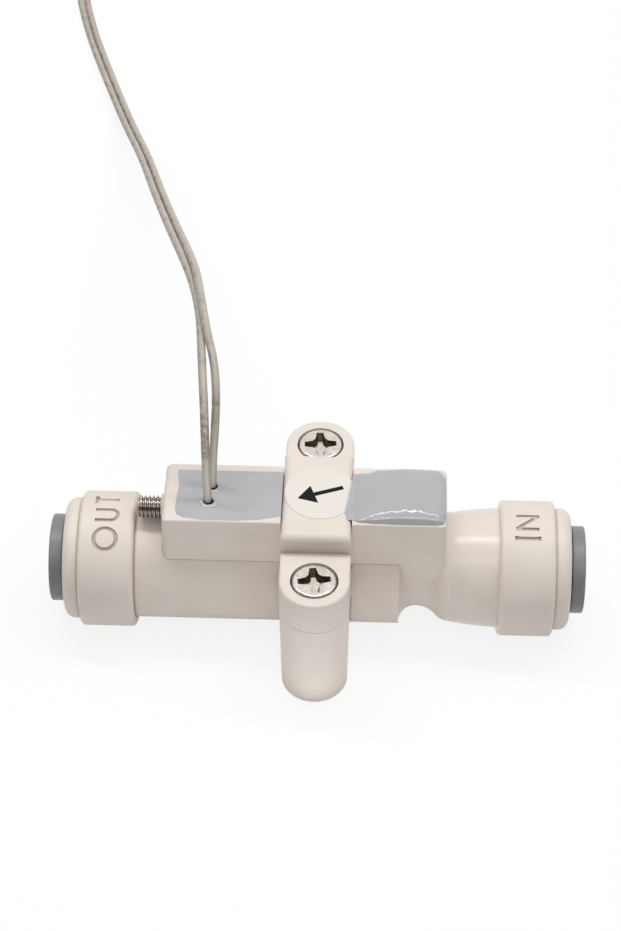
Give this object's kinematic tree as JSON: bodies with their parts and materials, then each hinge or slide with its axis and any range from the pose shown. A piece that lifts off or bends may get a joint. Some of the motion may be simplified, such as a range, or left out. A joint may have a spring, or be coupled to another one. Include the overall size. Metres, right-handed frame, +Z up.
{
  "type": "water flow switch",
  "caption": "Inline water flow switch: straight push-fit tube body with a clamped, resin-filled reed switch tray, a sliding magnetic plunger inside and a wire lead.",
  "frame": {"origin": "under the clamp's centre, on the surface that the clamp base stands on", "axes": "+X along the flow axis from the outlet to the inlet, +Y to the back where the lead runs, +Z up"},
  "size_m": [0.0699, 0.1599, 0.0318],
  "materials": {
    "ivory_plastic": "injection-moulded ivory plastic, satin",
    "cap_plastic": "injection-moulded ivory plastic, satin",
    "clamp_plastic": "injection-moulded ivory plastic, fine texture",
    "collet_plastic": "moulded grey plastic, satin",
    "tooth_steel": "stamped spring steel",
    "seal_rubber": "moulded black rubber",
    "plated_steel": "nickel-plated steel",
    "clear_adhesive": "set clear adhesive",
    "potting_resin": "poured blue-grey resin",
    "label_paper": "printed paper disc",
    "plunger_plastic": "moulded acetal",
    "magnet_ferrite": "sintered magnet",
    "spring_steel": "stainless spring wire",
    "reed_glass": "sealed glass tube",
    "reed_alloy": "plated nickel-iron strip",
    "tinned_copper": "tinned copper wire",
    "solder": "soft solder",
    "wire_sheath": "grey-beige wire insulation",
    "tie_plastic": "nylon band",
    "plug_plastic": "moulded white nylon",
    "contact_brass": "stamped tinned brass"
  },
  "bodies": {
    "housing": {"outlet_body": "ivory_plastic", "inlet_body": "ivory_plastic", "outlet_cap": "cap_plastic", "inlet_cap": "cap_plastic", "clamp_strap": "clamp_plastic", "clamp_base": "clamp_plastic", "outlet_tube_ring": "seal_rubber", "inlet_tube_ring": "seal_rubber", "spigot_ring": "seal_rubber", "clamp_screws": "plated_steel", "lock_bead": "clear_adhesive", "potting": "potting_resin", "round_label": "label_paper", "return_spring": "spring_steel", "reed_glass": "reed_glass", "reed_blade_outlet": "reed_alloy", "reed_blade_inlet": "reed_alloy", "return_conductor": "tinned_copper", "solder_joints": "solder", "lead_wire_front": "wire_sheath", "lead_wire_back": "wire_sheath", "lead_tails": "wire_sheath", "lead_coil": "wire_sheath", "coil_tie": "tie_plastic", "connector_housing": "plug_plastic", "connector_contacts": "contact_brass"},
    "outlet_release": {"outlet_collet": "collet_plastic", "outlet_collet_teeth": "tooth_steel"},
    "inlet_release": {"inlet_collet": "collet_plastic", "inlet_collet_teeth": "tooth_steel"},
    "plunger": {"piston": "plunger_plastic", "piston_magnet": "magnet_ferrite"},
    "trim": {"adjusting_screw": "plated_steel"}
  },
  "joints": [
    {"name": "outlet_collet_slide", "type": "slide", "parent": "housing", "child": "outlet_release", "axis": [-1, 0, 0], "range_m": [-0.00015, 0.0013]},
    {"name": "inlet_collet_slide", "type": "slide", "parent": "housing", "child": "inlet_release", "axis": [1, 0, 0], "range_m": [-0.00015, 0.0013]},
    {"name": "plunger_slide", "type": "slide", "parent": "housing", "child": "plunger", "axis": [-1, 0, 0], "range_m": [0, 0.0045], "stiffness_N_per_m": 30, "springref_m": -0.003, "deforming": ["return_spring"]},
    {"name": "adjusting_screw_turn", "type": "hinge", "parent": "housing", "child": "trim", "pos_m": [-0.0163, 0, 0.01589], "axis": [-1, 0, 0], "range_deg": [0, 350]}
  ]
}
